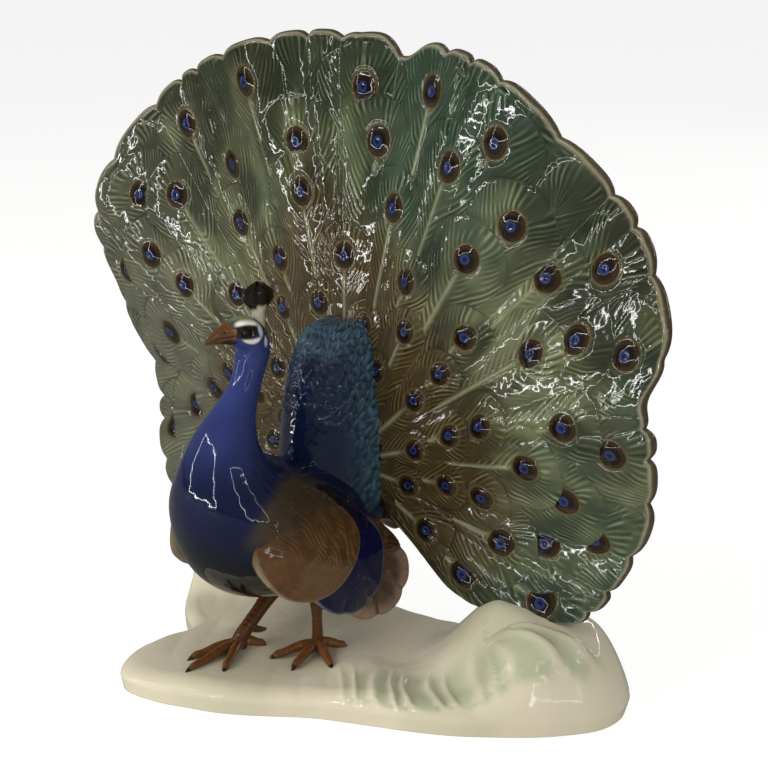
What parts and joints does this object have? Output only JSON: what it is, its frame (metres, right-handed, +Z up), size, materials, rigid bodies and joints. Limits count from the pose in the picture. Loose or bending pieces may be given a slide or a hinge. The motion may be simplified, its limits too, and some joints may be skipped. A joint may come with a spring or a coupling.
{
  "type": "peacock figurine",
  "caption": "Glazed porcelain peacock displaying its spread train, standing on a modelled ground with a flat underside.",
  "frame": {"origin": "on the flat underside, straight below the root of the train", "axes": "+Z up, the bird faces -Y, +X to the bird's left along the spread train"},
  "size_m": [0.2773, 0.1204, 0.228],
  "materials": {
    "porcelain": "glazed porcelain, painted under the glaze: green and brown train, cobalt neck and breast, brown wings, ivory ground"
  },
  "bodies": {
    "root": {"peacock_figurine": "porcelain"}
  },
  "joints": []
}
